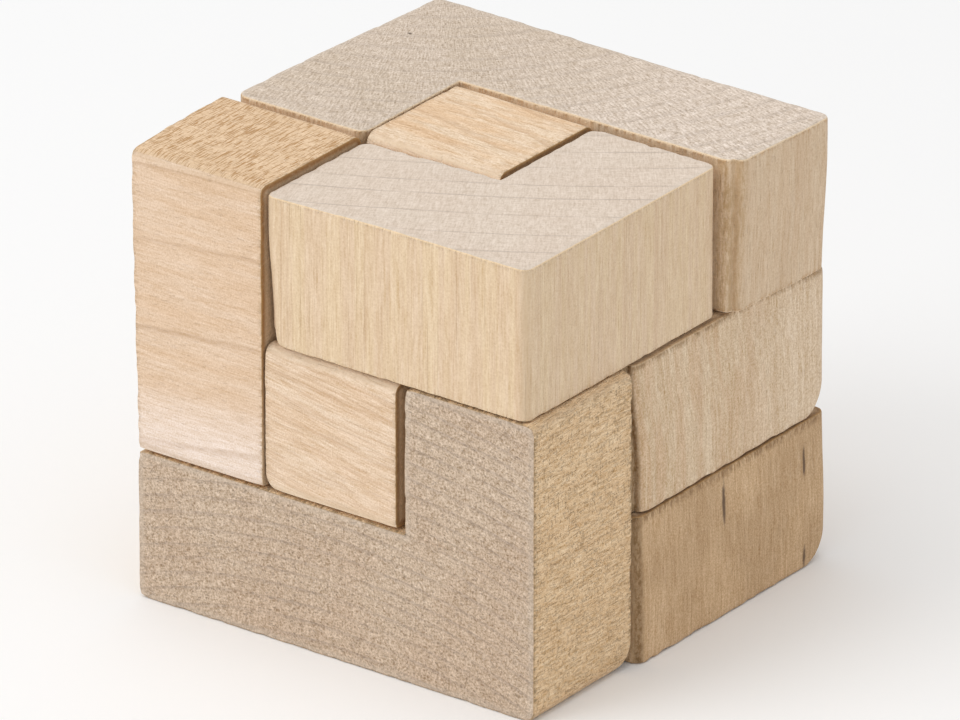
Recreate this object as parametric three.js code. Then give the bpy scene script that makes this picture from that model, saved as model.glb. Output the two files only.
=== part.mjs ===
// Wooden cube puzzle: seven loose blocks that pack into a 3 x 3 x 3 cube of unit cells.
// Each block is one slice of timber, a unit thick, sawn across a bar with an L, T, Z or V profile.
// Millimetres, +Z up. The origin is the centre of the cube's footprint, on the surface it stands on.
// +X is to the right along the front of the cube and +Y runs to its back.

import * as THREE from 'three';

// ---------------------------------------------------------------- driving dimensions

// The cells are 20 mm by design. The joints between hand-sawn blocks lie where these sizes put them.
const COLUMN_WIDTHS = [19.6, 20.5, 19.9];   // cells along x, from the left
const ROW_DEPTHS = [20.2, 19.5, 20.3];      // cells along y, from the front
const LAYER_HEIGHTS = [19.8, 19.5, 20.7];   // cells along z, from the bottom
const GAP = 0.3;                            // clearance between two neighbouring blocks

const EDGE_RADIUS = 1.5;    // rounding of the planed edges that run along the grain
const EDGE_STEPS = 6;       // flats in one rounded edge
const SAWN_EDGE = 0.5;      // softened edge around a sawn end
const SAWN_STEPS = 2;       // flats in one softened edge

// How far some blocks stand out past the cube's faces, or stop short of them.
const Z_STANDS_LEFT = 0.6;
const Z_STANDS_FRONT = 0.3;
const CORNER_SET_BACK = 1.0;    // the corner piece's right side
const CORNER_SET_DOWN = 0.5;    // the corner piece's top
const T_CUT_SHORT = 0.5;        // the t piece's right end, beside the front l piece's upright
const UPRIGHT_NARROW = 0.4;     // the front l piece's upright, on the side of the t piece
const TOP_L_SET_RIGHT = 0.5;    // the top l piece's left side
const TOP_L_SHALLOW = 0.5;      // the top l piece's back
const TOP_L_STANDS_RIGHT = 0.9;
const MIDDLE_L_STANDS_RIGHT = 0.4;
const BASE_L_STANDS_RIGHT = 0.7;
const FRONT_L_STANDS_RIGHT = 0.2;

// ---------------------------------------------------------------- the grid of cell planes

// Running totals: the planes at 0, after one cell, after two cells and after all three.
function planesFrom(sizes) {
  const planes = [0];
  sizes.forEach((size, index) => planes.push(planes[index] + size));
  return planes;
}

const PLANES = {
  x: planesFrom(COLUMN_WIDTHS),
  y: planesFrom(ROW_DEPTHS),
  z: planesFrom(LAYER_HEIGHTS),
};
const LAST_PLANE = COLUMN_WIDTHS.length;

// Local axes of a block's profile: u and v lie in the profile, and the grain runs along the third.
const PROFILE_AXES = {
  x: ['y', 'z'],
  y: ['z', 'x'],
  z: ['x', 'y'],
};
const AXIS_VECTORS = {
  x: new THREE.Vector3(1, 0, 0),
  y: new THREE.Vector3(0, 1, 0),
  z: new THREE.Vector3(0, 0, 1),
};

// Where a block's face lies when it looks along +axis (outward 1) or -axis (outward -1)
// from the cell plane with this index. Faces inside the cube keep half the gap.
function facePosition(block, axis, plane, outward) {
  const isOutside = plane === 0 || plane === LAST_PLANE;
  const clearance = isOutside ? 0 : GAP / 2;
  const ownOffset = block.faces[axis + plane] ?? 0;
  return PLANES[axis][plane] - outward * clearance + ownOffset;
}

// ---------------------------------------------------------------- one block

// Turns an outline of cell corners, anticlockwise, into points inset by the clearance.
// Each corner is marked convex or hollow, because only convex corners are rounded.
function insetCorners(block) {
  const [uAxis, vAxis] = PROFILE_AXES[block.grain];
  const count = block.outline.length;
  return block.outline.map(([u, v], index) => {
    const before = block.outline[(index + count - 1) % count];
    const after = block.outline[(index + 1) % count];
    const arriving = [Math.sign(u - before[0]), Math.sign(v - before[1])];
    const leaving = [Math.sign(after[0] - u), Math.sign(after[1] - v)];
    // Solid lies to the left of each side, so the outward normal is the side turned right.
    const outwardU = arriving[1] || leaving[1];
    const outwardV = -(arriving[0] || leaving[0]);
    const turn = arriving[0] * leaving[1] - arriving[1] * leaving[0];
    return {
      point: new THREE.Vector2(
        facePosition(block, uAxis, u, outwardU),
        facePosition(block, vAxis, v, outwardV),
      ),
      arriving: new THREE.Vector2(...arriving),
      leaving: new THREE.Vector2(...leaving),
      isConvex: turn > 0,
    };
  });
}

// The profile as a shape, with an arc at each convex corner.
function profileShape(block) {
  const shape = new THREE.Shape();
  insetCorners(block).forEach(({ point, arriving, leaving, isConvex }, index) => {
    const start = isConvex ? point.clone().addScaledVector(arriving, -EDGE_RADIUS) : point;
    if (index === 0) {
      shape.moveTo(start.x, start.y);
    } else {
      shape.lineTo(start.x, start.y);
    }
    if (isConvex) {
      const centre = start.clone().addScaledVector(leaving, EDGE_RADIUS);
      const startAngle = Math.atan2(start.y - centre.y, start.x - centre.x);
      shape.absarc(centre.x, centre.y, EDGE_RADIUS, startAngle, startAngle + Math.PI / 2, false);
    }
  });
  shape.closePath();
  return shape;
}

function woodMaterial(color, roughness) {
  return new THREE.MeshStandardMaterial({ color, roughness, metalness: 0 });
}

function makeBlock(block) {
  const [uAxis, vAxis] = PROFILE_AXES[block.grain];
  const start = facePosition(block, block.grain, block.from, -1);
  const end = facePosition(block, block.grain, block.from + 1, 1);
  const geometry = new THREE.ExtrudeGeometry(profileShape(block), {
    depth: end - start - 2 * SAWN_EDGE,
    curveSegments: EDGE_STEPS,
    bevelEnabled: true,
    bevelThickness: SAWN_EDGE,
    bevelSize: SAWN_EDGE,
    bevelOffset: -SAWN_EDGE,
    bevelSegments: SAWN_STEPS,
  });
  const mesh = new THREE.Mesh(geometry, woodMaterial(block.color, block.roughness));
  mesh.name = block.name;
  const basis = new THREE.Matrix4().makeBasis(
    AXIS_VECTORS[uAxis],
    AXIS_VECTORS[vAxis],
    AXIS_VECTORS[block.grain],
  );
  mesh.quaternion.setFromRotationMatrix(basis);
  mesh.position.copy(AXIS_VECTORS[block.grain]).multiplyScalar(start + SAWN_EDGE);
  return mesh;
}

// ---------------------------------------------------------------- the seven blocks

// outline: cell corners of the profile, anticlockwise, in the axes that PROFILE_AXES gives.
// from: the cell plane where the slice starts. faces: the block's own offsets, by cell plane.
const BLOCKS = [
  {
    name: 'z_piece',
    grain: 'x',
    from: 0,
    outline: [[0, 1], [1, 1], [1, 0], [2, 0], [2, 2], [1, 2], [1, 3], [0, 3]],
    faces: { x0: -Z_STANDS_LEFT, y0: -Z_STANDS_FRONT },
    color: '#cfa27b',
    roughness: 0.75,
  },
  {
    name: 'corner_piece',
    grain: 'z',
    from: 2,
    outline: [[1, 0], [3, 0], [3, 2], [2, 2], [2, 1], [1, 1]],
    faces: { x3: -CORNER_SET_BACK, z3: -CORNER_SET_DOWN },
    color: '#d3b48d',
    roughness: 0.75,
  },
  {
    name: 't_piece',
    grain: 'x',
    from: 1,
    outline: [[0, 1], [1, 1], [1, 0], [2, 0], [2, 3], [1, 3], [1, 2], [0, 2]],
    faces: { x2: -T_CUT_SHORT },
    color: '#d2a276',
    roughness: 0.75,
  },
  {
    name: 'front_l_piece',
    grain: 'y',
    from: 0,
    outline: [[0, 0], [1, 0], [1, 2], [2, 2], [2, 3], [0, 3]],
    faces: { x2: UPRIGHT_NARROW, x3: FRONT_L_STANDS_RIGHT },
    color: '#b58e70',
    roughness: 0.85,
  },
  {
    name: 'top_l_piece',
    grain: 'z',
    from: 2,
    outline: [[0, 1], [1, 1], [1, 2], [3, 2], [3, 3], [0, 3]],
    faces: { x0: TOP_L_SET_RIGHT, x3: TOP_L_STANDS_RIGHT, y3: -TOP_L_SHALLOW },
    color: '#c0a586',
    roughness: 0.85,
  },
  {
    name: 'middle_l_piece',
    grain: 'z',
    from: 1,
    outline: [[0, 2], [2, 2], [2, 1], [3, 1], [3, 3], [0, 3]],
    faces: { x3: MIDDLE_L_STANDS_RIGHT },
    color: '#b98f66',
    roughness: 0.8,
  },
  {
    name: 'base_l_piece',
    grain: 'z',
    from: 0,
    outline: [[0, 2], [2, 2], [2, 1], [3, 1], [3, 3], [0, 3]],
    faces: { x3: BASE_L_STANDS_RIGHT },
    color: '#9f7550',
    roughness: 0.8,
  },
];

// ---------------------------------------------------------------- the assembled cube

// The footprint's middle, counting the blocks that stand out furthest on each side.
const LEFT_EDGE = -Z_STANDS_LEFT;
const RIGHT_EDGE = PLANES.x[LAST_PLANE] + TOP_L_STANDS_RIGHT;
const FRONT_EDGE = -Z_STANDS_FRONT;
const BACK_EDGE = PLANES.y[LAST_PLANE];

const puzzle = new THREE.Group();
for (const block of BLOCKS) {
  puzzle.add(makeBlock(block));
}
puzzle.position.set(-(LEFT_EDGE + RIGHT_EDGE) / 2, -(FRONT_EDGE + BACK_EDGE) / 2, 0);

export default puzzle;
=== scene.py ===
import math
from collections import namedtuple

import bpy
import numpy as np
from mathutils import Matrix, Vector


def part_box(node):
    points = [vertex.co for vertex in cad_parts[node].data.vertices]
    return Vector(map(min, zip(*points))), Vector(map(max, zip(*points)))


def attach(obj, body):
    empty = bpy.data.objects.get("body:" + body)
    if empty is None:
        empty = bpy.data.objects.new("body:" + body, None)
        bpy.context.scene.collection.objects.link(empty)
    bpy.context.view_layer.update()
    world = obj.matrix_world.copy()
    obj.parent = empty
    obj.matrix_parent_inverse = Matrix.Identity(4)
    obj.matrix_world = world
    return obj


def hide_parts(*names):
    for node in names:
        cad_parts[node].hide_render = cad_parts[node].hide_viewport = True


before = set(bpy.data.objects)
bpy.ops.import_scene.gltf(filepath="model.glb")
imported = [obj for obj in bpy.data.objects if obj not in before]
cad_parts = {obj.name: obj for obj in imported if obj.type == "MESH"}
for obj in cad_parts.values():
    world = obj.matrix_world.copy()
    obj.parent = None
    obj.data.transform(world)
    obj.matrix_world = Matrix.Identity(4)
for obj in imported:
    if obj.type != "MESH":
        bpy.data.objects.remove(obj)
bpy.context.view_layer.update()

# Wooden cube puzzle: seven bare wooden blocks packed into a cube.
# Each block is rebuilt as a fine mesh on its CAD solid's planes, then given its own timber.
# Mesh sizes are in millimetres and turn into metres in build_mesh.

MM = 0.001

# ------------------------------------------------------------------ sizes shared with the CAD

GAP = 0.3               # clearance between neighbouring blocks
T_CUT_SHORT = 0.5       # the t piece stops this far short of its cell
UPRIGHT_NARROW = 0.4    # the front l piece's upright is this much narrower than its cell
EDGE_RADIUS = 1.5       # rounding of the planed edges along the grain

PROFILE_AXES = {"x": "yz", "y": "zx", "z": "xy"}    # the profile's two axes, by grain axis
AXIS_INDEX = {"x": 0, "y": 1, "z": 2}


def low_high(node):
    """A node's box at rest, in millimetres."""
    low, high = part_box(node)
    return np.array(low) / MM, np.array(high) / MM


def inner_planes():
    """The two cell planes inside the cube along each axis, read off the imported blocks."""
    half = GAP / 2
    z_high = low_high("z_piece")[1]
    return {
        "x": (z_high[0] + half, low_high("t_piece")[1][0] + T_CUT_SHORT + half),
        "y": (low_high("front_l_piece")[1][1] + half, z_high[1] + half),
        "z": (low_high("base_l_piece")[1][2] + half, low_high("middle_l_piece")[1][2] + half),
    }


PLANES = inner_planes()

# ------------------------------------------------------------------ the lattice of a block

# Lattice lines near an edge, as distances from it, and the step over the rest of a face.
EDGE_LINES = (0.0, 0.1, 0.25, 0.5, 0.75, 1.0, 1.25, 1.5)
END_LINES = (0.0, 0.08, 0.16, 0.25, 0.36, 0.5, 0.8, 1.1)
FACE_STEP = 0.5
NARROW_STEP = 0.3       # the step between edges too close together for those lines
NARROW = 2.5            # how close that is, in widths of the lines near one edge

RIM_REACH = 0.7         # the distance over which the rim mask fades away from a sawn edge


def lattice_lines(breaks, near_lines):
    """Lattice coordinates between the breaks, close together beside each break."""
    lines = []
    near = np.array(near_lines)
    for start, end in zip(breaks[:-1], breaks[1:]):
        length = end - start
        if length < NARROW * near[-1]:
            lines.append(np.linspace(start, end, max(2, int(length / NARROW_STEP) + 1)))
            continue
        count = int(round((length - 2 * near[-1]) / FACE_STEP)) + 1
        middle = np.linspace(start + near[-1], end - near[-1], count)
        lines.append(np.concatenate([start + near, middle[1:-1], end - near[::-1]]))
    return np.unique(np.round(np.concatenate(lines), 5))


def inside_any(u, v, rects):
    inside = np.zeros(np.broadcast(u, v).shape, dtype=bool)
    for u0, u1, v0, v1 in rects:
        inside |= (u > u0) & (u < u1) & (v > v0) & (v < v1)
    return inside


def prism_lattice(rects, w0, w1):
    """Points and quads of the skin of a prism over a union of rectangles."""
    us = lattice_lines(sorted({r[i] for r in rects for i in (0, 1)}), EDGE_LINES)
    vs = lattice_lines(sorted({r[i] for r in rects for i in (2, 3)}), EDGE_LINES)
    ws = lattice_lines([w0, w1], END_LINES)
    mid_u = (us[:-1] + us[1:]) / 2
    mid_v = (vs[:-1] + vs[1:]) / 2
    solid = np.zeros((len(us) + 1, len(vs) + 1), dtype=bool)
    solid[1:-1, 1:-1] = inside_any(mid_u[:, None], mid_v[None, :], rects)

    def index(i, j, k):
        return (i * len(vs) + j) * len(ws) + k

    def wall(here, beyond):
        """The lattice edges between a solid cell and an empty one, once for each layer."""
        i, j = np.nonzero(here & ~beyond)
        return np.repeat(i, last), np.repeat(j, last), np.tile(np.arange(last), len(i))

    i, j = np.nonzero(solid[1:-1, 1:-1])
    last = len(ws) - 1
    quads = [
        np.stack([index(i, j, last), index(i + 1, j, last),
                  index(i + 1, j + 1, last), index(i, j + 1, last)], 1),
        np.stack([index(i, j, 0), index(i, j + 1, 0),
                  index(i + 1, j + 1, 0), index(i + 1, j, 0)], 1),
    ]
    for sign in (1, -1):
        # Sides that face along +u or -u.
        before, after = solid[:-1, 1:-1], solid[1:, 1:-1]
        i, j, k = wall(*(before, after)[::sign])
        side = [index(i, j, k), index(i, j + 1, k), index(i, j + 1, k + 1), index(i, j, k + 1)]
        quads.append(np.stack(side[::sign], 1))
        # Sides that face along +v or -v.
        before, after = solid[1:-1, :-1], solid[1:-1, 1:]
        i, j, k = wall(*(before, after)[::sign])
        side = [index(i, j, k), index(i, j, k + 1), index(i + 1, j, k + 1), index(i + 1, j, k)]
        quads.append(np.stack(side[::sign], 1))
    used, flat = np.unique(np.concatenate(quads), return_inverse=True)
    points = np.stack([
        us[used // (len(ws) * len(vs))],
        vs[used // len(ws) % len(vs)],
        ws[used % len(ws)],
    ], axis=1)
    return points, flat.reshape(-1, 4)


def nearest_in_core(p, rects, inset):
    """The closest point to each p in the union of the rectangles shrunk by inset."""
    best = np.full(len(p), np.inf)
    nearest = p.copy()
    for u0, u1, v0, v1 in rects:
        q = np.stack([np.clip(p[:, 0], u0 + inset, u1 - inset),
                      np.clip(p[:, 1], v0 + inset, v1 - inset)], 1)
        distance = np.linalg.norm(p - q, axis=1)
        closer = distance < best
        best[closer] = distance[closer]
        nearest[closer] = q[closer]
    return nearest


def corner_strength(p, tight):
    """1 where a long edge is fully rounded, less near the profile corners listed as tight."""
    strength = np.ones(len(p))
    for u, v, amount in tight:
        strength[np.hypot(p[:, 0] - u, p[:, 1] - v) < 2 * EDGE_RADIUS] = amount
    return strength[:, None]


def round_edges(points, rects, w0, w1, tight, sawn_edge):
    """Rounds the long edges and the sawn edges. Gives the points and three masks per point:
    sawn (1 on an end face), arris (1 on a long edge) and rim (1 at a sawn edge, fading inwards)."""
    tiny = 1e-9
    on_face = 1e-4
    square_p = points[:, :2]
    core = nearest_in_core(square_p, rects, EDGE_RADIUS)
    reach = square_p - core
    square = np.abs(reach).max(axis=1)
    length = np.linalg.norm(reach, axis=1)
    outward = reach / np.maximum(length, tiny)[:, None]
    corner = np.abs(reach).min(axis=1) / np.maximum(square, tiny)
    arris = np.clip(corner, 0, 1) * (square > EDGE_RADIUS - on_face)
    round_p = core + outward * square[:, None]
    strength = corner_strength(square_p, tight)
    p = round_p * strength + square_p * (1 - strength)
    side_depth = np.maximum(EDGE_RADIUS - square, 0)
    side_depth[length < 1e-6] = EDGE_RADIUS

    w = points[:, 2]
    from_low, from_high = w - w0, w1 - w
    end_depth = np.minimum(from_low, from_high)
    end_sign = np.where(from_low < from_high, -1.0, 1.0)
    near = (side_depth < sawn_edge) & (end_depth < sawn_edge)
    ds = np.where(near, sawn_edge - side_depth, 0)
    dt = np.where(near, sawn_edge - end_depth, 0)
    norm = np.maximum(np.hypot(ds, dt), tiny)
    new_side = np.where(near, sawn_edge - sawn_edge * ds / norm, side_depth)
    new_end = np.where(near, sawn_edge - sawn_edge * dt / norm, end_depth)
    p = p - outward * (new_side - side_depth)[:, None]
    w = w - end_sign * (new_end - end_depth)
    on_end = end_depth < on_face
    sawn = np.where(near, (dt / norm) ** 2, on_end.astype(float))
    rim = np.exp(-np.where(on_end, side_depth, end_depth) / RIM_REACH)
    return np.column_stack([p, w]), sawn, arris, rim


def block_rects(block):
    """The profile's rectangles, from the block's box, the cell planes and its own offsets."""
    low, high = low_high(block["node"])

    def side(axis, column, plane, outward):
        """A side on the box's own face, or half a gap from an inner cell plane."""
        ends = [cells[column + i] for cells in block["rects"] for i in (0, 1)]
        if outward < 0 and plane == min(ends):
            return low[AXIS_INDEX[axis]]
        if outward > 0 and plane == max(ends):
            return high[AXIS_INDEX[axis]]
        own_offset = block["own"].get(axis + str(plane), 0)
        return PLANES[axis][plane - 1] - outward * GAP / 2 + own_offset

    rects = []
    for cells in block["rects"]:
        rect = []
        for axis, column in zip(PROFILE_AXES[block["grain"]], (0, 2)):
            rect.append(side(axis, column, cells[column], -1))
            rect.append(side(axis, column, cells[column + 1], 1))
        rects.append(tuple(rect))
    w = AXIS_INDEX[block["grain"]]
    return rects, low[w], high[w]


def tight_corners(block, rects):
    """Profile corners with a tighter edge, as (u, v, strength). Each is named by its cell planes."""
    corners = []
    for rect, cells in zip(rects, block["rects"]):
        for u, v, amount in block["tight"]:
            if u in cells[:2] and v in cells[2:]:
                corners.append((rect[cells[:2].index(u)], rect[2 + cells[2:].index(v)], amount))
    return corners


def to_xyz(uvw, grain):
    order = [AXIS_INDEX[a] for a in PROFILE_AXES[grain] + grain]
    xyz = np.empty_like(uvw)
    xyz[:, order] = uvw
    return xyz


# ------------------------------------------------------------------ changes of shape

# A side reads like x- or z+, and is a side of the block's box. With a third part it is a plane
# of its own at that coordinate. A change moves points. A weight or an amount gives a number for
# each point. All of them are called with the points and the box's two corners.

LEAN_REACH = 15.0       # how deep into a block a leaning side pulls the points along


def ramp(value, start, end):
    """0 at start, 1 at end, smooth between."""
    t = np.clip((value - start) / (end - start), 0, 1)
    return t * t * (3 - 2 * t)


def depth_from(points, low, high, side):
    """Each point's distance in from a side. Points beyond a plane of its own count as far."""
    axis = AXIS_INDEX[side[0]]
    if len(side) == 3:
        depth = (points[:, axis] - side[2]) * (1 if side[1] == "-" else -1)
        return np.where(depth < -1e-4, 1e3, depth)
    if side[1] == "-":
        return points[:, axis] - low[axis]
    return high[axis] - points[:, axis]


def inward_sign(side):
    return 1 if side[1] == "-" else -1


def even(amount):
    """The same amount at every point."""
    return lambda points, low, high: amount


def toward(side, far, near):
    """A weight that is 0 at far millimetres from a side and 1 at near millimetres from it."""
    return lambda points, low, high: ramp(depth_from(points, low, high, side), far, near)


def height(start, end):
    """A weight that is 0 at the height start and 1 at the height end."""
    return lambda points, low, high: ramp(points[:, 2], start, end)


def scaled(amount, *weights):
    """An amount times its weights."""
    def value(points, low, high):
        result = amount
        for weight in weights:
            result = result * weight(points, low, high)
        return result
    return value


def total(*amounts):
    return lambda points, low, high: sum(amount(points, low, high) for amount in amounts)


def at_most(limit, amount):
    return lambda points, low, high: np.minimum(amount(points, low, high), limit)


def bow(side, start, length, power, amount):
    """An amount that grows from start millimetres below a side, reaching its full size length on."""
    def value(points, low, high):
        along = np.maximum(depth_from(points, low, high, side) - start, 0) / length
        return amount * along ** power
    return value


def curl(side, radius, weight=even(1.0)):
    """An amount for lean: the leaning side curls in along a quarter circle towards a side."""
    def value(points, low, high):
        t = np.clip(1 - depth_from(points, low, high, side) / radius, 0, 1)
        return weight(points, low, high) * radius * (1 - np.sqrt(1 - t * t))
    return value


def lean(side, amount):
    """Moves a side inwards by an amount, fading to nothing at LEAN_REACH below it."""
    def change(points, low, high):
        moved = points.copy()
        fade = np.clip(1 - depth_from(points, low, high, side) / LEAN_REACH, 0, 1)
        moved[:, AXIS_INDEX[side[0]]] += inward_sign(side) * fade * amount(points, low, high)
        return moved
    return change


def soften(side_a, side_b, radius, weight=even(1.0)):
    """Rounds the edge between two sides to a larger radius, where weight is 1."""
    def change(points, low, high):
        a = radius - depth_from(points, low, high, side_a)
        b = radius - depth_from(points, low, high, side_b)
        inside = (a > 0) & (b > 0)
        a, b = np.where(inside, a, 0), np.where(inside, b, 0)
        scale = np.maximum(a, b) / np.maximum(np.hypot(a, b), 1e-9)
        share = weight(points, low, high) * inside
        moved = points.copy()
        for side, value in ((side_a, a), (side_b, b)):
            moved[:, AXIS_INDEX[side[0]]] += inward_sign(side) * share * value * (1 - scale)
        return moved
    return change


# ------------------------------------------------------------------ block meshes

# How fine the wear is, in bumps per millimetre, and how much longer it is along the grain.
WAVE_FINE = 0.12        # slow waves over the faces
EDGE_WEAR_FINE = 0.55   # wear along the long edges
RAGGED_FINE = 0.9       # broken sawn edges and the skin of the sawn ends
FIBRE_FINE = 2.2        # fibres on the planed sides
GRAIN_STRETCH = 0.25
WAVE_DEPTH = 0.05
SHARP_ANGLE = 50        # degrees between two faces that are shaded as an edge


def noise3(points, seed):
    """Smooth noise from 0 to 1 at each point. The large numbers are a common integer hash."""
    cell = np.floor(points).astype(np.int64)
    part = points - cell
    part = part * part * (3 - 2 * part)
    result = np.zeros(len(points))
    for corner in np.ndindex(2, 2, 2):
        at = cell + np.array(corner)
        key = (at[:, 0] * 73856093) ^ (at[:, 1] * 19349663) ^ (at[:, 2] * 83492791) ^ (seed * 40503)
        key = (key ^ (key >> 13)) * 1274126177 & 0xFFFFFFFF
        value = ((key ^ (key >> 16)) & 0xFFFF) / 0xFFFF
        weight = np.prod(np.where(np.array(corner) == 1, part, 1 - part), axis=1)
        result += weight * value
    return result


def quarter_mask(points, normals, block):
    """1 where a face looks round the growth rings, so that rays show on it as flecks."""
    a, b = (AXIS_INDEX[axis] for axis in PROFILE_AXES[block["grain"]])
    out = points[:, [a, b]] - np.array(block["look"]["pith"])
    out /= np.linalg.norm(out, axis=1)[:, None]
    facing = np.abs(normals[:, a] * out[:, 1] - normals[:, b] * out[:, 0])
    return ramp(facing, 0.55, 0.95)


def wear_depth(points, block, sawn, arris, rim):
    """How deep each point lies: slow waves, edges rubbed down, and a rougher skin on the sawn ends.
    """
    seed = block["seed"]
    squeeze = np.ones(3)
    squeeze[AXIS_INDEX[block["grain"]]] = GRAIN_STRETCH
    wave = noise3(points * WAVE_FINE + seed, seed) - 0.5
    wear = noise3(points * EDGE_WEAR_FINE * squeeze, seed + 1)
    ragged = noise3(points * RAGGED_FINE, seed + 2)
    fibre = noise3(points * FIBRE_FINE * squeeze, seed + 3) - 0.5
    inward = (
        WAVE_DEPTH * wave + WAVE_DEPTH
        + arris * wear * block["edge_wear"]
        + rim * (ragged ** 3) * block["rim_wear"]
        + (1 - sawn) * fibre * block["side_relief"]
        + sawn * (ragged - 0.5) * block["end_relief"]
    )
    return np.maximum(inward, 0)


def build_mesh(block):
    rects, w0, w1 = block_rects(block)
    uvw, quads = prism_lattice(rects, w0, w1)
    tight = tight_corners(block, rects)
    uvw, sawn, arris, rim = round_edges(uvw, rects, w0, w1, tight, block["sawn_edge"])
    points = to_xyz(uvw, block["grain"])
    low, high = low_high(block["node"])
    for change in block["shape"]:
        points = change(points, low, high)

    mesh = bpy.data.meshes.new(block["name"])
    mesh.from_pydata(points.tolist(), [], quads.tolist())
    mesh.validate()
    normals = np.empty(len(points) * 3)
    mesh.vertices.foreach_get("normal", normals)
    normals = normals.reshape(-1, 3)
    quarter = quarter_mask(points, normals, block)

    points = points - normals * wear_depth(points, block, sawn, arris, rim)[:, None]
    points = np.clip(points, low - block["stands_out"], high + block["stands_out"])
    points[:, 2] = np.maximum(points[:, 2], 0)

    mesh.vertices.foreach_set("co", (points * MM).ravel())
    for name, values in (("sawn", sawn), ("arris", arris), ("rim", rim), ("quarter", quarter)):
        layer = mesh.attributes.new(name, "FLOAT", "POINT")
        layer.data.foreach_set("value", values.astype(np.float32))
    mesh.polygons.foreach_set("use_smooth", [True] * len(mesh.polygons))
    mesh.set_sharp_from_angle(angle=math.radians(SHARP_ANGLE))
    mesh.update()
    return mesh


# ------------------------------------------------------------------ wood, as shader nodes

# Noise scales are per millimetre, so a larger number is a finer pattern. In the frame of the
# grain they go across, across and along it, and in the polar frame out from the pith, round it
# and along the grain. Every noise adds its own number to the block's seed.
GRIT_SCALE = (4.5, 4.5, 4.5)        # grit on the planed sides
PATCH_SCALE = (2.0, 2.0, 0.6)       # patches in a band of painted shade
SPECK_SCALE = (3.6, 3.6, 3.6)       # specks of end grain
COARSE_SCALE = (1.3, 1.3, 1.3)
BLOTCH_SCALE = (0.11, 0.11, 0.11)   # slow change between the two end colours
SPOKE_SCALE = (0.7, 4.6, 0.7)       # rays on an end, polar
BAND_SCALE = (4.2, 0.6, 0.7)        # fine bands along the rings on an end, polar
RING_FADE_SCALE = (0.16, 0.16, 0.05)
TUFT_SCALE = (1.8, 1.8, 0.45)       # torn fibres beside a sawn edge
EDGE_DARKENING_SCALE = (2.6, 2.6, 1.3)        # darkening on the long edges, painted shade where strong
SHAKY_SCALE = (0.9, 0.9, 0.9)       # the uneven outline of a dark mark

RING_END = 0.97         # the part of a ring where its line is darkest
ROUGH_SPREAD = 0.18     # how much the fibres change the roughness
ENDS_ROUGHER = 0.12     # how much rougher the sawn ends are
BUMP_DEPTH = 0.1 * MM

Places = namedtuple("Places", "scaled straight grain polar radius")
Masks = namedtuple("Masks", "sawn arris rim tuft")


class Nodes:
    """A node tree with short calls: each makes one node and gives its output socket."""

    def __init__(self, tree):
        self.tree = tree

    def make(self, kind, **settings):
        node = self.tree.nodes.new(kind)
        for key, value in settings.items():
            setattr(node, key, value)
        return node

    def feed(self, socket, value):
        if isinstance(value, bpy.types.NodeSocket):
            self.tree.links.new(value, socket)
        elif value is not None:
            socket.default_value = value

    def math(self, operation, a, b=None, c=None):
        node = self.make("ShaderNodeMath", operation=operation)
        for socket, value in zip(node.inputs, (a, b, c)):
            self.feed(socket, value)
        return node.outputs[0]

    def add(self, first, *others):
        for other in others:
            first = self.math("ADD", first, other)
        return first

    def multiply(self, first, *others):
        for other in others:
            first = self.math("MULTIPLY", first, other)
        return first

    def vector(self, operation, a, b=None):
        node = self.make("ShaderNodeVectorMath", operation=operation)
        self.feed(node.inputs[0], a)
        self.feed(node.inputs[1], b)
        return node.outputs["Value" if operation in ("LENGTH", "DOT_PRODUCT") else "Vector"]

    def combine(self, x, y, z):
        node = self.make("ShaderNodeCombineXYZ")
        for socket, value in zip(node.inputs, (x, y, z)):
            self.feed(socket, value)
        return node.outputs[0]

    def noise(self, vector, scale, detail, seed, rough=0.5, warp=0.0):
        moved = self.vector("MULTIPLY", vector, tuple(scale))
        moved = self.vector("ADD", moved, (seed * 7.31, seed * 3.17, seed * 5.73))
        node = self.make("ShaderNodeTexNoise")
        self.feed(node.inputs["Vector"], moved)
        node.inputs["Scale"].default_value = 1.0
        node.inputs["Detail"].default_value = detail
        node.inputs["Roughness"].default_value = rough
        node.inputs["Distortion"].default_value = warp
        return node.outputs["Fac"]

    def remap(self, value, low, high, new_low=0.0, new_high=1.0):
        node = self.make("ShaderNodeMapRange", interpolation_type="SMOOTHSTEP")
        self.feed(node.inputs["Value"], value)
        for name, number in zip(("From Min", "From Max", "To Min", "To Max"),
                                (low, high, new_low, new_high)):
            self.feed(node.inputs[name], number)
        return node.outputs["Result"]

    def mix(self, factor, a, b):
        node = self.make("ShaderNodeMix", data_type="RGBA", clamp_factor=True)
        self.feed(node.inputs[0], factor)
        for socket, value in zip((node.inputs[6], node.inputs[7]), (a, b)):
            self.feed(socket, (*value, 1.0) if isinstance(value, tuple) else value)
        return node.outputs[2]

    def attribute(self, name):
        node = self.make("ShaderNodeAttribute", attribute_type="GEOMETRY", attribute_name=name)
        return node.outputs["Fac"]


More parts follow.
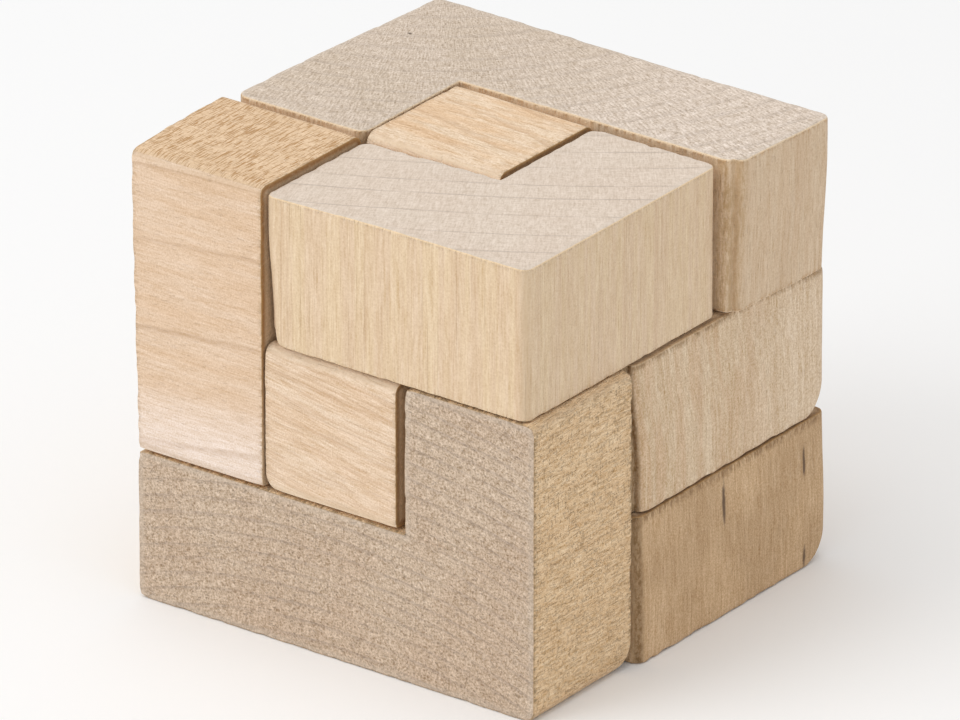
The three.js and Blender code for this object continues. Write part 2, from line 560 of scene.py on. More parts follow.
def grain_frame(n, block):
    """Places in millimetres: as they are, along the straight grain, along the drifting grain,
    in the polar frame about the pith, and the distance from the pith."""
    look = block["look"]
    place = n.make("ShaderNodeTexCoord").outputs["Object"]
    scaled_place = n.vector("MULTIPLY", place, (1000.0, 1000.0, 1000.0))
    split = n.make("ShaderNodeSeparateXYZ")
    n.feed(split.inputs[0], scaled_place)
    order = PROFILE_AXES[block["grain"]] + block["grain"]
    u, v, w = (split.outputs[AXIS_INDEX[a]] for a in order)
    u = n.math("MULTIPLY_ADD", w, look["tilt"][0], u)
    v = n.math("MULTIPLY_ADD", w, look["tilt"][1], v)
    straight = n.combine(u, v, w)
    drift = n.noise(straight, look["drift_scale"], detail=2.0, seed=block["seed"])
    drift = n.math("MULTIPLY_ADD", drift, look["drift"], -look["drift"] / 2)
    u, v = n.add(u, drift), n.add(v, drift)
    from_pith_u, from_pith_v = n.add(u, -look["pith"][0]), n.add(v, -look["pith"][1])
    radius = n.vector("LENGTH", n.combine(from_pith_u, from_pith_v, 0.0))
    turned = n.math("ARCTAN2", from_pith_v, from_pith_u)
    around = n.multiply(turned, look["pith_distance"])
    polar = n.combine(radius, around, w)
    return Places(scaled_place, straight, n.combine(u, v, w), polar, radius)


def ring_lines(n, block, places):
    """Growth rings: each one darkens slowly and then stops, leaving a thin line."""
    look, seed = block["look"], block["seed"]
    along_radius = n.combine(places.radius, 0.0, 0.0)
    uneven = n.noise(along_radius, (0.22, 1, 1), detail=1.0, seed=seed + 2)
    uneven = n.multiply(uneven, look["uneven"])
    turns = n.math("MULTIPLY_ADD", places.radius, 1 / look["ring"], uneven)
    fraction = n.math("FRACT", n.add(turns, look["ring_shift"]))
    rise = n.remap(fraction, 1 - look["ring_wide"], RING_END)
    line = n.multiply(rise, n.remap(fraction, RING_END, 1.0, 1.0, 0.0))
    fade = n.noise(places.straight, RING_FADE_SCALE, detail=2.0, seed=seed + 3)
    return n.multiply(line, n.remap(fade, 0.35, 0.6, look["ring_break"], 1.0))


def signed(n, value, amount):
    """A noise value turned into a change of brightness about zero."""
    return n.math("MULTIPLY_ADD", value, amount, -amount / 2)


def brighten(n, color, bright, red, green, blue):
    """Changes a colour's brightness. Darker wood is also warmer, so blue changes most."""
    shares = (red, green, blue)
    factors = n.combine(*(n.math("MULTIPLY_ADD", bright, share, 1.0) for share in shares))
    return n.vector("MULTIPLY", color, factors)


def blend_along(n, places, color, far):
    """Blends into another colour along a direction. far is (colour, direction, start, end)."""
    if far is None:
        return color
    far_color, direction, start, end = far
    along = n.vector("DOT_PRODUCT", places.scaled, direction)
    return n.mix(n.remap(along, start, end), color, far_color)


def stain(n, block, places, color, painted_shade_color, direction, start, end):
    """Painted shade in patches, fading from start to end along a direction."""
    along = n.vector("DOT_PRODUCT", places.scaled, direction)
    patches = n.noise(places.grain, PATCH_SCALE, detail=3.0, rough=0.7, seed=block["seed"] + 21)
    amount = n.multiply(n.remap(along, start, end, 1.0, 0.0), n.remap(patches, 0.36, 0.62))
    return n.mix(amount, color, painted_shade_color)


def side_wood(n, block, places, ring):
    """Colour, relief and fibres of the planed sides, where the fibres lie along the surface."""
    look, seed = block["look"], block["seed"]
    grain = places.grain
    fine = n.noise(grain, look["fine_scale"], detail=2.0, rough=0.65, seed=seed + 4)
    fibre = n.noise(grain, look["fibre_scale"], detail=2.0, rough=0.6, seed=seed + 5)
    streak = n.noise(grain, look["streak_scale"], detail=2.0, rough=0.5, seed=seed + 6)
    tint = n.noise(grain, look["tint_scale"], detail=2.0, rough=0.55, seed=seed + 15)
    grit = n.noise(places.scaled, GRIT_SCALE, detail=1.0, rough=0.6, seed=seed + 16)
    dash = n.noise(grain, look["dash_scale"], detail=1.0, seed=seed + 7, warp=look["dash_warp"])
    dash = n.remap(dash, look["dash_from"], look["dash_from"] + 0.12)
    ray = n.noise(places.polar, look["ray_scale"], detail=1.0, seed=seed + 8, warp=0.2)
    quarter = n.attribute("quarter")
    ray = n.multiply(n.remap(ray, look["ray_from"], look["ray_from"] + 0.1), quarter)

    color = n.mix(n.remap(tint, 0.36, 0.64), look["light"], look["warm"])
    color = blend_along(n, places, color, look["far"])
    if look["ray_ground"] is not None:
        color = n.mix(n.multiply(quarter, 0.8), color, look["ray_ground"])
    for painted_shade_settings in look["painted_shades"]:
        color = stain(n, block, places, color, *painted_shade_settings)
    bright = n.add(*(signed(n, value, look[name]) for value, name in (
        (fine, "fine"), (fibre, "fibre"), (streak, "streak"), (grit, "grit"))))
    color = brighten(n, color, bright, 0.72, 1.0, 1.45)
    color = n.mix(n.multiply(ring, look["ring_side"]), color, look["line"])
    color = n.mix(n.multiply(dash, look["dash"]), color, look["line"])
    color = n.mix(n.multiply(ray, look["ray"]), color, look["fleck"])

    relief = n.math("MULTIPLY_ADD", fibre, look["fibre_relief"], n.multiply(fine, 0.5))
    relief = n.math("MULTIPLY_ADD", dash, -look["dash_relief"], relief)
    relief = n.math("MULTIPLY_ADD", ray, -look["ray_relief"], relief)
    relief = n.math("MULTIPLY_ADD", grit, look["grit_relief"], relief)
    return color, relief, fibre


def end_wood(n, block, places, ring):
    """Colour and relief of the sawn ends, where the fibres come out as specks."""
    look, seed = block["look"], block["seed"]
    speck = n.noise(places.scaled, SPECK_SCALE, detail=2.0, rough=0.75, seed=seed + 9)
    coarse = n.noise(places.scaled, COARSE_SCALE, detail=2.0, rough=0.6, seed=seed + 17)
    spokes = n.noise(places.polar, SPOKE_SCALE, detail=1.5, rough=0.6, seed=seed + 10)
    bands = n.noise(places.polar, BAND_SCALE, detail=1.5, rough=0.6, seed=seed + 11)
    blotch = n.noise(places.scaled, BLOTCH_SCALE, detail=2.0, seed=seed + 12)
    pit = n.noise(places.polar, look["pit_scale"], detail=1.0, seed=seed + 18)
    pit = n.remap(pit, look["pit_from"], look["pit_from"] + 0.1)

    color = n.mix(n.remap(blotch, 0.35, 0.65), look["end_light"], look["end_warm"])
    color = blend_along(n, places, color, look["end_far"])
    bright = n.add(*(signed(n, value, look[name]) for value, name in (
        (speck, "speck"), (coarse, "coarse"), (spokes, "spokes"), (bands, "bands"))))
    color = brighten(n, color, bright, 0.86, 1.0, 1.2)
    color = n.mix(n.multiply(ring, look["ring_end"]), color, look["end_line"])
    color = n.mix(n.multiply(pit, look["pit"]), color, look["end_pit"])

    relief = n.math("MULTIPLY_ADD", speck, 1.0, n.multiply(coarse, 0.8))
    relief = n.math("MULTIPLY_ADD", spokes, 0.4, relief)
    relief = n.math("MULTIPLY_ADD", pit, -0.5, relief)
    return color, relief


def soil_rim(n, look, places, color, masks):
    """A tone round a sawn end, with a golden lip right at its edge. On the hidden ends both are
    painted gap shade, dark within and warm at the lip.
    """
    inner = n.remap(n.vector("DOT_PRODUCT", places.scaled, look["rim_along"]), *look["rim_span"])
    rim_tint = n.multiply(n.remap(masks.rim, 0.14, 0.45), n.remap(masks.tuft, 0.25, 0.55, 0.7, 1.0))
    rim_tint = n.multiply(rim_tint, inner, look["end_rim_tone"])
    color = n.mix(rim_tint, color, look["end_rim_tone_colour"])
    lip = n.multiply(n.remap(masks.rim, 0.45, 0.95), n.remap(masks.tuft, 0.25, 0.6, 0.6, 1.0))
    return n.mix(n.multiply(lip, inner, look["lip"]), color, look["lip_colour"])


def wear_edges(n, block, places, color, masks):
    """A line along the sawn edges, a painted highlight where its colour is light and painted gap
    shade where dark; then pale long edges, rubbed wear with a painted highlight; then darkening of
    the long edges, painted shade where strong.
    """
    look = block["look"]
    sawn_line = n.multiply(n.remap(masks.rim, 0.6, 0.9), n.remap(masks.sawn, 0.98, 0.7))
    sawn_line = n.multiply(sawn_line, n.remap(masks.tuft, 0.3, 0.5, 0.45, 1.0))
    color = n.mix(n.multiply(sawn_line, look["edge"]), color, look["edge_colour"])
    color = n.mix(n.multiply(masks.arris, look["burnish_and_highlight"]), color, look["pale"])
    edge_darkening = n.noise(places.scaled, EDGE_DARKENING_SCALE, detail=3.0, rough=0.7, seed=block["seed"] + 20)
    edge_darkening = n.multiply(n.remap(edge_darkening, 0.36, 0.64, 0.6, 1.0), n.remap(masks.arris, 0.0, 0.7))
    along = n.vector("DOT_PRODUCT", places.scaled, look["edge_darkening_along"])
    edge_darkening = n.multiply(edge_darkening, n.remap(along, *look["edge_darkening_span"], 1.0, 0.3))
    return n.mix(n.multiply(edge_darkening, look["edge_darkening"]), color, look["edge_darkening_colour"])


def dark_mark(n, block, places, color, centre, stretch, strength):
    """A small dark knot or bark mark, an uneven ellipsoid about centre."""
    away = n.vector("DIVIDE", n.vector("SUBTRACT", places.scaled, centre), stretch)
    shaky = n.noise(places.scaled, SHAKY_SCALE, detail=2.0, seed=block["seed"] + 19)
    away = n.math("MULTIPLY_ADD", shaky, 0.8, n.add(n.vector("LENGTH", away), -0.4))
    amount = n.remap(away, 1.1, 0.35, 0.0, strength)
    return n.mix(amount, color, block["look"]["mark_colour"])


def wood_material(block):
    """Solid timber: growth rings round a pith, fibres along the grain, rays, specks and end grain."""
    look = block["look"]
    material = bpy.data.materials.new(block["name"] + "_wood")
    material.use_nodes = True
    material.node_tree.nodes.clear()
    n = Nodes(material.node_tree)
    places = grain_frame(n, block)
    ring = ring_lines(n, block, places)
    tuft = n.noise(places.grain, TUFT_SCALE, detail=2.0, rough=0.6, seed=block["seed"] + 13)
    masks = Masks(*(n.attribute(name) for name in ("sawn", "arris", "rim")), tuft)

    # Torn fibres beside the sawn edges: warm tufts with short dark dashes between them.
    side, side_relief, fibre = side_wood(n, block, places, ring)
    torn = n.multiply(n.remap(tuft, 0.45, 0.62), n.remap(masks.rim, 0.22, 0.9))
    side = n.mix(n.multiply(torn, look["torn"]), side, look["torn_colour"])
    side_relief = n.multiply(side_relief, look["side_relief"])
    side_relief = n.math("MULTIPLY_ADD", torn, 1.5, side_relief)

    end, end_relief = end_wood(n, block, places, ring)
    end = soil_rim(n, look, places, end, masks)
    color = n.mix(n.remap(masks.sawn, look["end_from"], look["end_from"] + 0.35), side, end)
    color = wear_edges(n, block, places, color, masks)
    for mark in look["marks"]:
        color = dark_mark(n, block, places, color, *mark)

    shader = n.make("ShaderNodeBsdfPrincipled")
    n.feed(shader.inputs["Base Color"], color)
    rough = n.math("MULTIPLY_ADD", fibre, ROUGH_SPREAD, look["rough"] - ROUGH_SPREAD / 2)
    rough = n.math("MULTIPLY_ADD", masks.sawn, ENDS_ROUGHER, rough)
    n.feed(shader.inputs["Roughness"], rough)
    shader.inputs["Specular IOR Level"].default_value = 0.35
    shader.inputs["Sheen Weight"].default_value = 0.06
    shader.inputs["Sheen Roughness"].default_value = 0.6

    relief = n.make("ShaderNodeMix", data_type="FLOAT")
    n.feed(relief.inputs[0], masks.sawn)
    n.feed(relief.inputs[2], side_relief)
    n.feed(relief.inputs[3], n.multiply(end_relief, look["end_relief"]))
    bump = n.make("ShaderNodeBump")
    bump.inputs["Strength"].default_value = 1.0
    bump.inputs["Distance"].default_value = BUMP_DEPTH
    n.feed(bump.inputs["Height"], relief.outputs[0])
    n.feed(shader.inputs["Normal"], bump.outputs[0])

    output = n.make("ShaderNodeOutputMaterial")
    n.feed(output.inputs["Surface"], shader.outputs[0])
    return material


# ------------------------------------------------------------------ the seven looks

# Every look starts from this one and changes what differs. Lengths and places are millimetres,
# scales are as for the noises above, and brightness changes and strengths are parts of one.
# A pair called _along and _span says where along a direction something starts and ends.
PLAIN_LOOK = {
    "tilt": (0.0, 0.0),             # how far the grain leans, per millimetre along it
    "drift": 0.8,                   # slow wander of the grain
    "drift_scale": (0.07, 0.07, 0.02),
    "pith": (60.0, -80.0),          # the tree's centre in the profile plane
    "pith_distance": 100.0,         # its rough distance, which sets how wide the rays spread
    "ring": 3.2,                    # growth ring width
    "ring_shift": 0.0,              # part of a ring by which all rings are moved
    "ring_wide": 0.16,              # the part of a ring that darkens before its line
    "ring_break": 0.3,              # strength of a ring line where it fades
    "uneven": 0.8,                  # how much the ring widths differ
    "ring_side": 0.12,              # strength of the ring lines on the sides, then on the ends
    "ring_end": 0.25,
    "fine_scale": (4.6, 4.6, 0.32),
    "fibre_scale": (2.2, 2.2, 0.10),
    "streak_scale": (0.7, 0.7, 0.02),
    "tint_scale": (0.8, 0.8, 0.025),    # the change between the colours light and warm
    "fine": 0.6,                    # brightness changes on the sides
    "fibre": 0.4,
    "streak": 0.16,
    "grit": 0.34,
    "dash": 0.25,                   # short dark dashes along the grain
    "dash_from": 0.64,              # the noise value where they start: lower means more of them
    "dash_scale": (4.5, 4.5, 0.7),
    "dash_warp": 0.0,
    "ray": 0.0,                     # flecks where a face looks round the rings
    "ray_from": 0.62,
    "ray_scale": (0.5, 4.0, 3.5),
    "light": (0.79, 0.60, 0.41),    # colours of the sides
    "warm": (0.77, 0.57, 0.385),
    "far": None,                    # colour, direction, start and end of a change along a side
    "ray_ground": None,             # colour of the wood between the flecks
    "line": (0.45, 0.27, 0.14),
    "fleck": (0.42, 0.25, 0.12),
    "speck": 0.7,                   # brightness changes on the ends
    "coarse": 0.2,
    "spokes": 0.4,
    "bands": 0.3,
    "pit": 0.3,                     # dark pores on the ends
    "pit_from": 0.66,
    "pit_scale": (3.0, 3.0, 3.0),
    "end_light": (0.74, 0.625, 0.52),   # colours of the ends
    "end_warm": (0.72, 0.60, 0.49),
    "end_far": None,
    "end_line": (0.42, 0.34, 0.28),
    "end_pit": (0.30, 0.22, 0.16),
    "end_from": 0.45,               # how far round a sawn edge the end's colour starts
    "torn": 0.5,                    # torn fibres on the sides, beside the sawn edges
    "torn_colour": (0.52, 0.33, 0.17),
    "edge": 0.5,                    # the line along the sawn edges: a painted highlight where its colour is light, painted gap shade where it is dark
    "edge_colour": (0.84, 0.64, 0.42),
    "end_rim_tone": 0.3,                 # a tone round the ends; strong and dark, it is painted gap shade
    "end_rim_tone_colour": (0.70, 0.61, 0.52),
    "rim_along": (0.0, 0.0, 1.0),
    "rim_span": (-1000.0, -900.0),
    "lip": 0.0,                     # a golden lip of painted warm gap shade right at the edge of the ends
    "lip_colour": (0.50, 0.28, 0.09),
    "burnish_and_highlight": 0.25,                # pale long edges: rubbed wear with a painted highlight
    "pale": (0.86, 0.69, 0.50),
    "edge_darkening": 0.2,                    # darkening on the long edges, painted shade beside the gaps where strong
    "edge_darkening_colour": (0.38, 0.24, 0.13),
    "edge_darkening_along": (0.0, 0.0, 1.0),
    "edge_darkening_span": (900.0, 1000.0),
    # Painted shade in patchy bands, beside gaps and under the blocks above.
    "painted_shades": (),                   # each with a colour, direction, start and end
    "marks": (),                    # knots, each with a centre, a size along each axis, a strength
    "mark_colour": (0.12, 0.075, 0.045),
    "rough": 0.68,                  # roughness of the sides
    "fibre_relief": 0.7,            # depths of the patterns, as shares of the bump depth
    "dash_relief": 0.8,
    "ray_relief": 0.8,
    "grit_relief": 0.4,
    "side_relief": 0.5,             # depth of the whole relief on the sides, then on the ends
    "end_relief": 0.6,
}

# End grain that the photograph never shows, on blocks seen from their planed sides.
# Its end colours are wood darkened and warmed with painted gap shade, and its strong rim tone and
# golden lip are painted gap shade too.
SHADED_HIDDEN_ENDS = {
    "end_light": (0.62, 0.46, 0.30),
    "end_warm": (0.59, 0.425, 0.265),
    "end_line": (0.42, 0.3, 0.2),
    "end_pit": (0.3, 0.2, 0.13),
    "end_rim_tone": 0.9,
    "end_rim_tone_colour": (0.27, 0.135, 0.045),
    "lip": 1.0,
}

Z_LOOK = {
    **PLAIN_LOOK, **SHADED_HIDDEN_ENDS,
    "tilt": (-0.0135, 0.0), "drift": 0.3, "pith": (-426.0, -15.0), "pith_distance": 400.0,
    "ring": 1.7, "ring_shift": 0.83, "ring_wide": 0.1, "ring_break": 0.6, "uneven": 0.1,
    "ring_side": 0.4, "ring_end": 0.4,
    "tint_scale": (0.5, 0.5, 0.05),
    "fibre": 0.25, "streak": 0.06, "grit": 0.6,
    "dash": 0.1,
    "ray": 0.85, "ray_from": 0.52, "ray_scale": (0.55, 0.75, 6.0),
    "light": (0.8, 0.595, 0.425), "warm": (0.765, 0.545, 0.365),
    "far": ((0.893, 0.737, 0.622), (0.09, 0.25, -1.0), -42.0, -31.0),
    "ray_ground": (0.8, 0.565, 0.345), "fleck": (0.46, 0.235, 0.075),
    # Darker painted gap shade round the ends, kept to the ends towards +x.
    "end_rim_tone_colour": (0.31, 0.14, 0.035), "rim_along": (1.0, 0.0, 0.3), "rim_span": (-6.0, 2.5),
    "ray_relief": 0.5,
}

CORNER_LOOK = {
    **PLAIN_LOOK,
    "pith": (-60.0, 110.0), "pith_distance": 150.0,
    "ring": 4.9, "ring_wide": 0.12, "ring_side": 0.16, "ring_end": 0.55,
    "fibre": 0.36, "streak": 0.1, "grit": 0.4,
    "dash": 0.22, "dash_scale": (3.2, 3.2, 0.03),
    "light": (0.79, 0.6, 0.39), "warm": (0.765, 0.57, 0.385), "line": (0.6, 0.36, 0.17),
    "speck": 0.5, "spokes": 0.5, "bands": 0.32, "pit": 0.12,
    "end_light": (0.74, 0.62, 0.51), "end_warm": (0.725, 0.6, 0.49),
    # A strong painted highlight line along the sawn edges.
    "torn": 0.15, "edge": 0.9, "edge_colour": (0.9, 0.68, 0.43),
    # Pale long edges with a painted highlight.
    "burnish_and_highlight": 0.45, "pale": (0.88, 0.69, 0.46),
    "end_relief": 0.35,
}

T_LOOK = {
    **PLAIN_LOOK, **SHADED_HIDDEN_ENDS,
    "tilt": (0.0, 0.15), "drift": 1.6, "drift_scale": (0.12, 0.12, 0.07), "pith": (40.0, 130.0),
    "pith_distance": 110.0,
    "ring": 2.3, "ring_wide": 0.3, "ring_break": 0.4, "uneven": 1.0, "ring_side": 0.34,
    "tint_scale": (0.45, 0.45, 0.06),
    "fine": 0.9, "fibre": 0.2, "streak": 0.14, "grit": 0.7,
    "dash": 0.24, "dash_from": 0.55, "dash_scale": (2.4, 2.4, 0.15), "dash_warp": 0.2,
    "light": (0.84, 0.645, 0.455), "warm": (0.8, 0.555, 0.345), "ray_ground": (0.83, 0.64, 0.475),
    "line": (0.55, 0.33, 0.17),
    # Strong pale long edges with a painted highlight.
    "burnish_and_highlight": 0.7, "pale": (0.92, 0.75, 0.55),
}

FRONT_L_LOOK = {
    **PLAIN_LOOK,
    "pith": (-83.0, 0.0),
    "ring": 2.0, "ring_wide": 0.35, "ring_break": 0.5, "ring_side": 0.06, "ring_end": 0.42,
    "fine_scale": (4.6, 4.6, 0.7), "fibre_scale": (2.2, 2.2, 0.35),
    "fine": 1.1, "fibre": 0.6, "streak": 0.1, "grit": 0.9,
    "dash": 0.05, "dash_from": 0.56, "dash_scale": (4.6, 4.6, 0.75), "dash_warp": 0.5,
    "light": (0.875, 0.62, 0.365), "warm": (0.835, 0.58, 0.335), "line": (0.48, 0.31, 0.14),
    "speck": 2.2, "coarse": 0.6, "spokes": 0.3, "bands": 0.5, "pit": 0.4, "pit_from": 0.62,
    "pit_scale": (3.4, 1.6, 3.0),
    "end_light": (0.611, 0.47, 0.344), "end_warm": (0.586, 0.438, 0.314),
    "end_line": (0.33, 0.25, 0.2),
    # A dark line of painted gap shade along the sawn edges.
    "torn": 0.9, "torn_colour": (0.25, 0.17, 0.07), "edge": 0.8, "edge_colour": (0.56, 0.37, 0.2),
    "end_rim_tone": 0.35, "end_rim_tone_colour": (0.64, 0.54, 0.44),
    "edge_darkening": 0.15,
    "rough": 0.8, "dash_relief": 0.5, "grit_relief": 0.9, "side_relief": 2.3, "end_relief": 1.2,
}

TOP_L_LOOK = {
    **PLAIN_LOOK,
    "pith": (-39.0, 45.0), "pith_distance": 40.0,
    "ring": 3.3, "ring_wide": 0.4, "ring_break": 0.45, "uneven": 0.5, "ring_end": 0.3,
    "streak": 0.1, "grit": 0.5,
    "light": (0.715, 0.54, 0.365), "warm": (0.695, 0.51, 0.335),
    "speck": 1.35, "spokes": 1.15, "bands": 0.5, "pit_from": 0.64,
    "end_light": (0.665, 0.545, 0.435), "end_warm": (0.645, 0.525, 0.41),
    "end_far": ((0.73, 0.61, 0.505), (1.0, 0.0, 0.0), -12.0, 18.0),
    # A painted highlight line along the sawn edges.
    "torn": 0.9, "torn_colour": (0.55, 0.31, 0.13), "edge": 0.7, "edge_colour": (0.92, 0.73, 0.5),
    # Painted shade on the long edges towards the front, beside the gaps.
    "edge_darkening": 0.5, "edge_darkening_colour": (0.44, 0.28, 0.13), "edge_darkening_along": (0.0, 1.0, 0.0),
    "edge_darkening_span": (11.5, 14.0),
    # Painted shade on the front face near the +x end, beside the gap.
    "painted_shades": (
        ((0.5, 0.325, 0.16), (-0.5, 1.0, 0.0), -4.9, -3.0),
    ),
    "marks": (
        ((-24.3, 18.0, 59.6), (0.5, 0.35, 1.0), 0.95),
    ),
    "mark_colour": (0.1, 0.07, 0.05),
    "end_relief": 0.8,
}

MIDDLE_L_LOOK = {
    **PLAIN_LOOK, **SHADED_HIDDEN_ENDS,
    "pith": (120.0, 40.0),
    "ring": 3.4, "ring_side": 0.14,
    "streak_scale": (0.35, 0.35, 0.012),
    "fine": 0.7, "streak": 0.34, "grit": 0.9,
    "light": (0.735, 0.56, 0.375), "warm": (0.685, 0.485, 0.305),
    "far": ((0.775, 0.6, 0.42), (0.0, 1.0, 0.0), 8.0, 26.0),
    "end_light": (0.78, 0.58, 0.38), "end_warm": (0.75, 0.545, 0.345),
    "torn": 0.7,
    # Weaker painted gap shade round the ends and at the lip.
    "end_rim_tone": 0.55, "lip": 0.5,
    # Strong painted shade on the long edges at the front, beside the gap to the front block.
    "edge_darkening": 1.0, "edge_darkening_colour": (0.25, 0.14, 0.05), "edge_darkening_along": (0.0, 1.0, 0.0),
    "edge_darkening_span": (-6.0, -3.0),
    # Painted shade at the top of the sides, under the blocks above.
    "painted_shades": (
        ((0.3, 0.18, 0.08), (0.0, 0.0, -1.0), -39.0, -37.9),
    ),
    "rough": 0.74,
}

BASE_L_LOOK = {
    **PLAIN_LOOK, **SHADED_HIDDEN_ENDS,
    "pith": (-70.0, 60.0), "pith_distance": 110.0,
    "ring": 3.0, "ring_side": 0.1,
    "tint_scale": (0.1, 0.1, 0.07),
    "fine": 0.85, "fibre": 0.42, "streak": 0.3, "grit": 0.95,
    "dash": 0.3,
    "light": (0.65, 0.44, 0.25), "warm": (0.555, 0.365, 0.2),
    "torn": 0.7, "edge": 0.2, "edge_colour": (0.6, 0.42, 0.25),
    # Painted gap shade round the ends, a little weaker.
    "end_rim_tone": 0.75,
    # Strong painted shade on the long edges at the front, beside the gap to the front block.
    "edge_darkening": 1.0, "edge_darkening_colour": (0.23, 0.13, 0.05), "edge_darkening_along": (0.0, 1.0, 0.0),
    "edge_darkening_span": (-6.0, -3.0),
    # Painted shade at the top of the sides, under the block above.
    "painted_shades": (
        ((0.3, 0.17, 0.07), (0.0, 0.0, -1.0), -19.4, -18.2),
    ),
    "marks": (
        ((31.0, 8.3, 15.2), (2.0, 0.42, 3.6), 0.95),
        ((31.0, 25.1, 14.4), (2.0, 0.34, 2.6), 0.95),
        ((31.0, 25.1, 1.6), (2.0, 0.36, 1.7), 0.9),
    ),
    "mark_colour": (0.13, 0.075, 0.04),
    "rough": 0.74,
}

# ------------------------------------------------------------------ the seven blocks

# rects: the profile's rectangles as cell planes, first and last along its first axis and then
# along its second. own: offsets from inner cell planes. tight: profile corners, as two cell
# planes and the share of EDGE_RADIUS they have. sawn_edge: the softened edge round an end.
# shape: changes of shape. stands_out: how far the mesh may pass the box of its CAD solid.
PLAIN_BLOCK = {
    "own": {},
    "tight": (),
    "shape": (),
    "stands_out": 0.0,
    "edge_wear": 0.10,      # depths of the wear on long edges and sawn edges
    "rim_wear": 0.20,
    "side_relief": 0.02,    # roughness of the sides and the ends
    "end_relief": 0.04,
}

BLOCKS = [
    {
        **PLAIN_BLOCK,
        "name": "z_block_wood", "node": "z_piece", "body": "z_block", "slot": "peach_wood",
        "grain": "x", "seed": 11, "look": Z_LOOK,
        "rects": [(0, 1, 1, 3), (0, 2, 1, 2), (1, 2, 0, 2)],
        "tight": [(0, 3, 0.6), (0, 1, 0.5)],
        "sawn_edge": 0.2, "stands_out": 0.4, "rim_wear": 0.25,
        "shape": [
            lean("x-", bow("z+", 0, 38, 1.6, 0.7)),
            lean("x-", total(
                scaled(0.25, toward("y-", 14, 4)),
                scaled(-0.5, toward("z+", 8, 1), toward("y-", 1, 9)))),
            soften("x-", "y+", 3.3, toward("z+", 12, 2)),
        ],
    },
    {
        **PLAIN_BLOCK,
        "name": "corner_block_wood", "node": "corner_piece", "body": "corner_block",
        "slot": "pale_wood", "grain": "z", "seed": 23, "look": CORNER_LOOK,
        "rects": [(1, 3, 0, 1), (2, 3, 0, 2)],
        "tight": [(1, 0, 0.75)],
        "sawn_edge": 0.3,
        "shape": [
            lean("x-", curl("z-", 2.2)),
            soften("x-", "y-", 2.6, toward("z-", 16, 0)),
            lean("z+", scaled(0.4, toward("x+", 20, 41))),
            lean("y+", even(0.5)),
        ],
    },
    {
        **PLAIN_BLOCK,
        "name": "t_block_wood", "node": "t_piece", "body": "t_block", "slot": "peach_wood",
        "grain": "x", "seed": 37, "look": T_LOOK,
        "rects": [(0, 2, 1, 2), (1, 2, 0, 3)],
        "tight": [(0, 1, 0.4)],
        "sawn_edge": 0.2, "stands_out": 0.5,
        "shape": [
            lean("x-", curl(("z", "-", PLANES["z"][0] + GAP / 2), 2.2, toward("y-", 14, 8))),
            lean("x+", scaled(-0.42, height(42, 50))),
            lean("z+", scaled(0.2, toward("x+", 16, 1))),
            lean("x-", scaled(-0.2, height(42, 39.5))),
        ],
    },
    {
        **PLAIN_BLOCK,
        "name": "front_l_block_wood", "node": "front_l_piece", "body": "front_l_block",
        "slot": "rough_wood", "grain": "y", "seed": 41, "look": FRONT_L_LOOK,
        "rects": [(0, 1, 0, 3), (0, 2, 2, 3)],
        "own": {"x2": UPRIGHT_NARROW},
        "tight": [(1, 0, 0.55), (0, 0, 0.7), (0, 3, 1.0), (2, 3, 0.75), (2, 2, 0.6)],
        "sawn_edge": 0.25, "stands_out": 0.2, "side_relief": 0.06, "end_relief": 0.08,
        "shape": [
            lean("y+", curl("z-", 4.0, toward("x+", 12, 2))),
            lean("z+", even(-0.14)),
            lean(("z", "+", PLANES["z"][0] - GAP / 2), even(-0.17)),
        ],
    },
    {
        **PLAIN_BLOCK,
        "name": "top_l_block_wood", "node": "top_l_piece", "body": "top_l_block",
        "slot": "grey_wood", "grain": "z", "seed": 53, "look": TOP_L_LOOK,
        "rects": [(0, 1, 1, 3), (0, 3, 2, 3)],
        "sawn_edge": 0.45, "stands_out": 1.2,
        "rim_wear": 0.12, "side_relief": 0.03, "end_relief": 0.06,
        "shape": [
            lean("y+", total(even(0.3), scaled(0.55, toward("x-", 4, 52)))),
            lean("x-", at_most(1.0, total(even(-0.75), bow("y-", 2, 30, 1.5, 1.6)))),
            lean("x+", total(
                even(-0.55),
                scaled(-0.6, toward("y+", 18, 2)),
                scaled(0.65, toward("z+", 4, 20)))),
            soften("x+", ("y", "-", PLANES["y"][1] + GAP / 2), 2.4),
        ],
    },
    {
        **PLAIN_BLOCK,
        "name": "middle_l_block_wood", "node": "middle_l_piece", "body": "middle_l_block",
        "slot": "tan_wood", "grain": "z", "seed": 67, "look": MIDDLE_L_LOOK,
        "rects": [(0, 3, 2, 3), (2, 3, 1, 3)],
        "sawn_edge": 0.35, "stands_out": 0.25, "rim_wear": 0.25,
        "shape": [
            lean("y+", curl("z-", 4.2, toward("x+", 12, 2))),
            soften("x+", "y-", 3.0),
            lean("x+", total(even(-0.2), scaled(1.3, toward("z+", 14, 0), toward("y+", 2, 14)))),
            lean("z-", scaled(-0.14, toward("x+", 9, 3))),
        ],
    },
    {
        **PLAIN_BLOCK,
        "name": "base_l_block_wood", "node": "base_l_piece", "body": "base_l_block",
        "slot": "brown_wood", "grain": "z", "seed": 79, "look": BASE_L_LOOK,
        "rects": [(0, 3, 2, 3), (2, 3, 1, 3)],
        "sawn_edge": 0.35, "stands_out": 0.35, "rim_wear": 0.35,
        "shape": [
            lean("y+", curl("z-", 4.2, toward("x+", 12, 2))),
            lean("x+", scaled(-0.35, toward("z+", 0, 12))),
            lean("z+", scaled(-0.07, toward("x+", 12, 6))),
        ],
    },
]


def add_block(block):
    piece = bpy.data.objects.new(block["name"], build_mesh(block))
    bpy.context.scene.collection.objects.link(piece)
    piece.data.materials.append(wood_material(block))
    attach(piece, block["body"])
    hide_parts(block["node"])


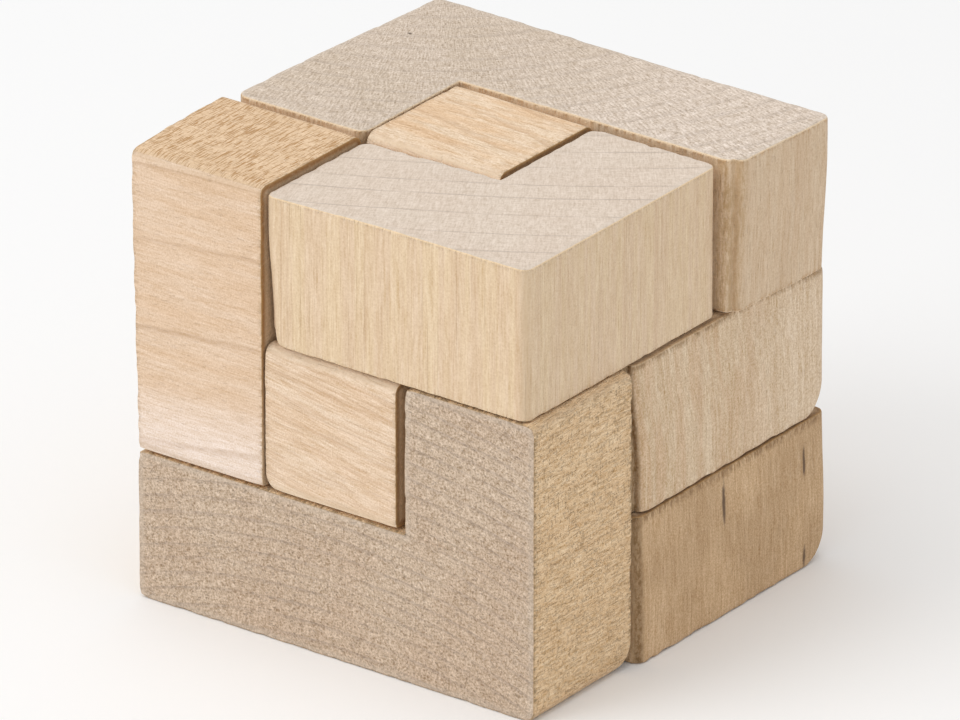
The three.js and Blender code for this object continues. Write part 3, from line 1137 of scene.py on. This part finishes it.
# ------------------------------------------------------------------ camera, light and floor

CAMERA_AZIMUTH = 36.6       # degrees round from the front, towards the right
CAMERA_ELEVATION = 24.7     # degrees above the horizon
CAMERA_DISTANCE = 1.8       # metres
CAMERA_TARGET = Vector((0.00064, -0.00114, 0.02965))
CAMERA_LENS = 553.0         # millimetres, on a sensor 36 mm wide
SENSOR_WIDTH = 36.0

FLOOR_HALF_SIZE = 3.0       # metres
SKY_STRENGTH = 0.65
LIGHT_TARGET = Vector((0, 0, 0.03))
LIGHTS = [                  # name, place and size in metres, watts
    ("key", (-0.55, -0.9, 0.85), 0.7, 4.2),
    ("overhead", (-0.1, -0.15, 1.2), 0.9, 3.8),
]


def add_camera():
    data = bpy.data.cameras.new("camera")
    data.lens = CAMERA_LENS
    data.sensor_width = SENSOR_WIDTH
    data.clip_start = 0.05
    data.clip_end = 50.0
    camera = bpy.data.objects.new("camera", data)
    azimuth, elevation = math.radians(CAMERA_AZIMUTH), math.radians(CAMERA_ELEVATION)
    back = Vector((math.sin(azimuth) * math.cos(elevation),
                   -math.cos(azimuth) * math.cos(elevation),
                   math.sin(elevation)))
    camera.location = CAMERA_TARGET + back * CAMERA_DISTANCE
    camera.rotation_euler = (-back).to_track_quat("-Z", "Y").to_euler()
    bpy.context.scene.collection.objects.link(camera)
    bpy.context.scene.camera = camera


def add_floor():
    mesh = bpy.data.meshes.new("floor")
    size = FLOOR_HALF_SIZE
    mesh.from_pydata([(-size, -size, 0), (size, -size, 0), (size, size, 0), (-size, size, 0)],
                     [], [(0, 1, 2, 3)])
    floor = bpy.data.objects.new("floor", mesh)
    bpy.context.scene.collection.objects.link(floor)
    material = bpy.data.materials.new("floor_paper")
    material.use_nodes = True
    shader = material.node_tree.nodes["Principled BSDF"]
    shader.inputs["Base Color"].default_value = (0.97, 0.97, 0.97, 1.0)
    shader.inputs["Roughness"].default_value = 0.9
    shader.inputs["Specular IOR Level"].default_value = 0.1
    mesh.materials.append(material)


def add_area_light(name, location, size, watts):
    data = bpy.data.lights.new(name, "AREA")
    data.shape = "SQUARE"
    data.size = size
    data.energy = watts
    light = bpy.data.objects.new(name, data)
    light.location = location
    aim = LIGHT_TARGET - Vector(location)
    light.rotation_euler = aim.to_track_quat("-Z", "Y").to_euler()
    bpy.context.scene.collection.objects.link(light)


def add_light():
    world = bpy.data.worlds.new("studio")
    world.use_nodes = True
    background = world.node_tree.nodes["Background"]
    background.inputs["Color"].default_value = (1.0, 1.0, 1.0, 1.0)
    background.inputs["Strength"].default_value = SKY_STRENGTH
    bpy.context.scene.world = world
    for light_settings in LIGHTS:
        add_area_light(*light_settings)
    bpy.context.scene.view_settings.view_transform = "Standard"


add_camera()
for block_spec in BLOCKS:
    add_block(block_spec)
add_floor()
add_light()
